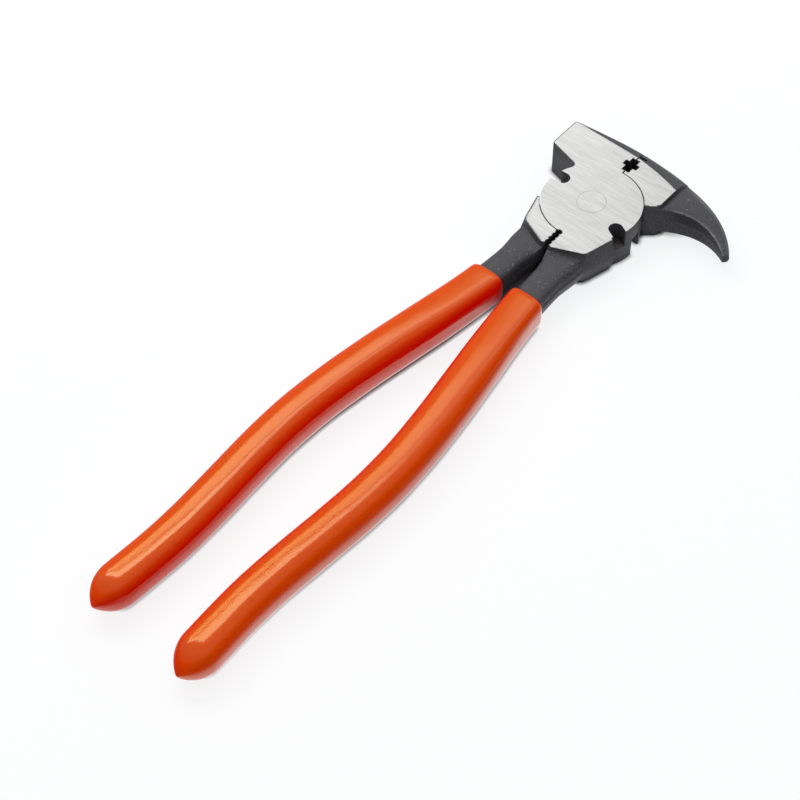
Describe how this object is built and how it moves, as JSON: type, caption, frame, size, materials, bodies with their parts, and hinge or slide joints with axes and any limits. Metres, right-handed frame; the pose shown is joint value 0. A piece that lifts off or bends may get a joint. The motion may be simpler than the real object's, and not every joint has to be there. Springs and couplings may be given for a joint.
{
  "type": "fence pliers",
  "caption": "Fence pliers: a hammer face and a curved claw on two lapped forged levers, with wire-cutter slots, gripping teeth and bowed dipped grips.",
  "frame": {"origin": "on the pivot axis, at the back ground face that the head lies on", "axes": "+Y from the pivot towards the head, along the tool's length; +X towards the claw; +Z out of the front ground face"},
  "size_m": [0.0815, 0.2689, 0.0152],
  "materials": {
    "forged_steel": "black forging scale with bright ground faces",
    "rivet_steel": "ground flush",
    "orange_vinyl": "glossy dipped vinyl"
  },
  "bodies": {
    "claw_half": {"claw_lever": "forged_steel", "claw_lever_grip": "orange_vinyl", "pivot_rivet": "rivet_steel"},
    "hammer_half": {"hammer_lever": "forged_steel", "hammer_lever_grip": "orange_vinyl"}
  },
  "joints": [
    {"name": "lever_hinge", "type": "hinge", "parent": "claw_half", "child": "hammer_half", "pos_m": [0, 0, 0.0076], "axis": [0, 0, 1], "range_deg": [0, 50]}
  ]
}
